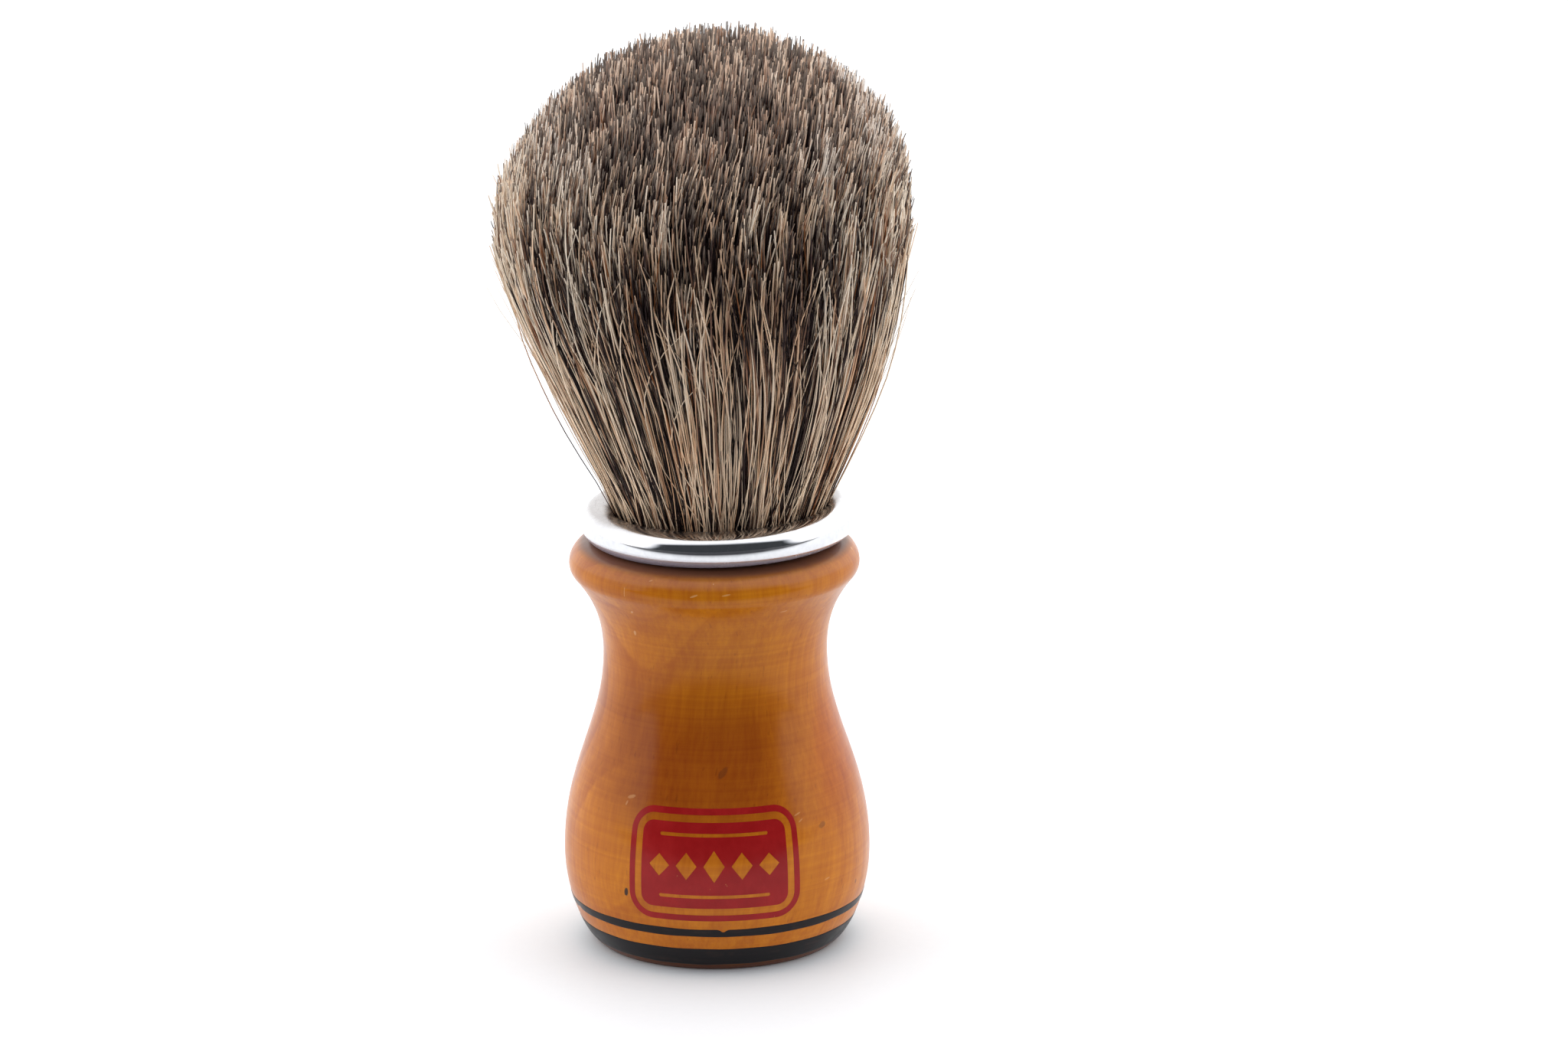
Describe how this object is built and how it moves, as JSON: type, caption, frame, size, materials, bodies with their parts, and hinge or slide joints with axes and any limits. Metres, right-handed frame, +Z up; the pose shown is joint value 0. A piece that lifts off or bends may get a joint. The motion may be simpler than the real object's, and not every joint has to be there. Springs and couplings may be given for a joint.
{
  "type": "shaving brush",
  "caption": "Shaving brush with a turned, lacquered wooden handle, a chromed rolled-rim collar and a domed knot of mixed natural hair.",
  "frame": {"origin": "centre of the handle's flat foot, on the surface it stands on", "axes": "+Z up along the brush's axis from the foot to the hair's tips, -Y towards the printed badge"},
  "size_m": [0.0488, 0.0488, 0.1088],
  "materials": {
    "lacquered_wood": "glossy clear lacquer over orange-brown stained, lathe-turned wood, with black painted bands and a red printed badge",
    "chrome": "polished chrome plate",
    "hair": "natural hair, cream, grey-brown and near-black mixed, dull sheen",
    "cast_resin": "clear amber cast resin",
    "cotton_cord": "undyed twisted cotton",
    "glue": "cured yellowish adhesive"
  },
  "bodies": {
    "root": {"handle": "lacquered_wood", "ferrule": "chrome", "hair_bundle": "hair", "knot_plug": "cast_resin", "binding_cord": "cotton_cord", "setting_adhesive": "glue"}
  },
  "joints": []
}
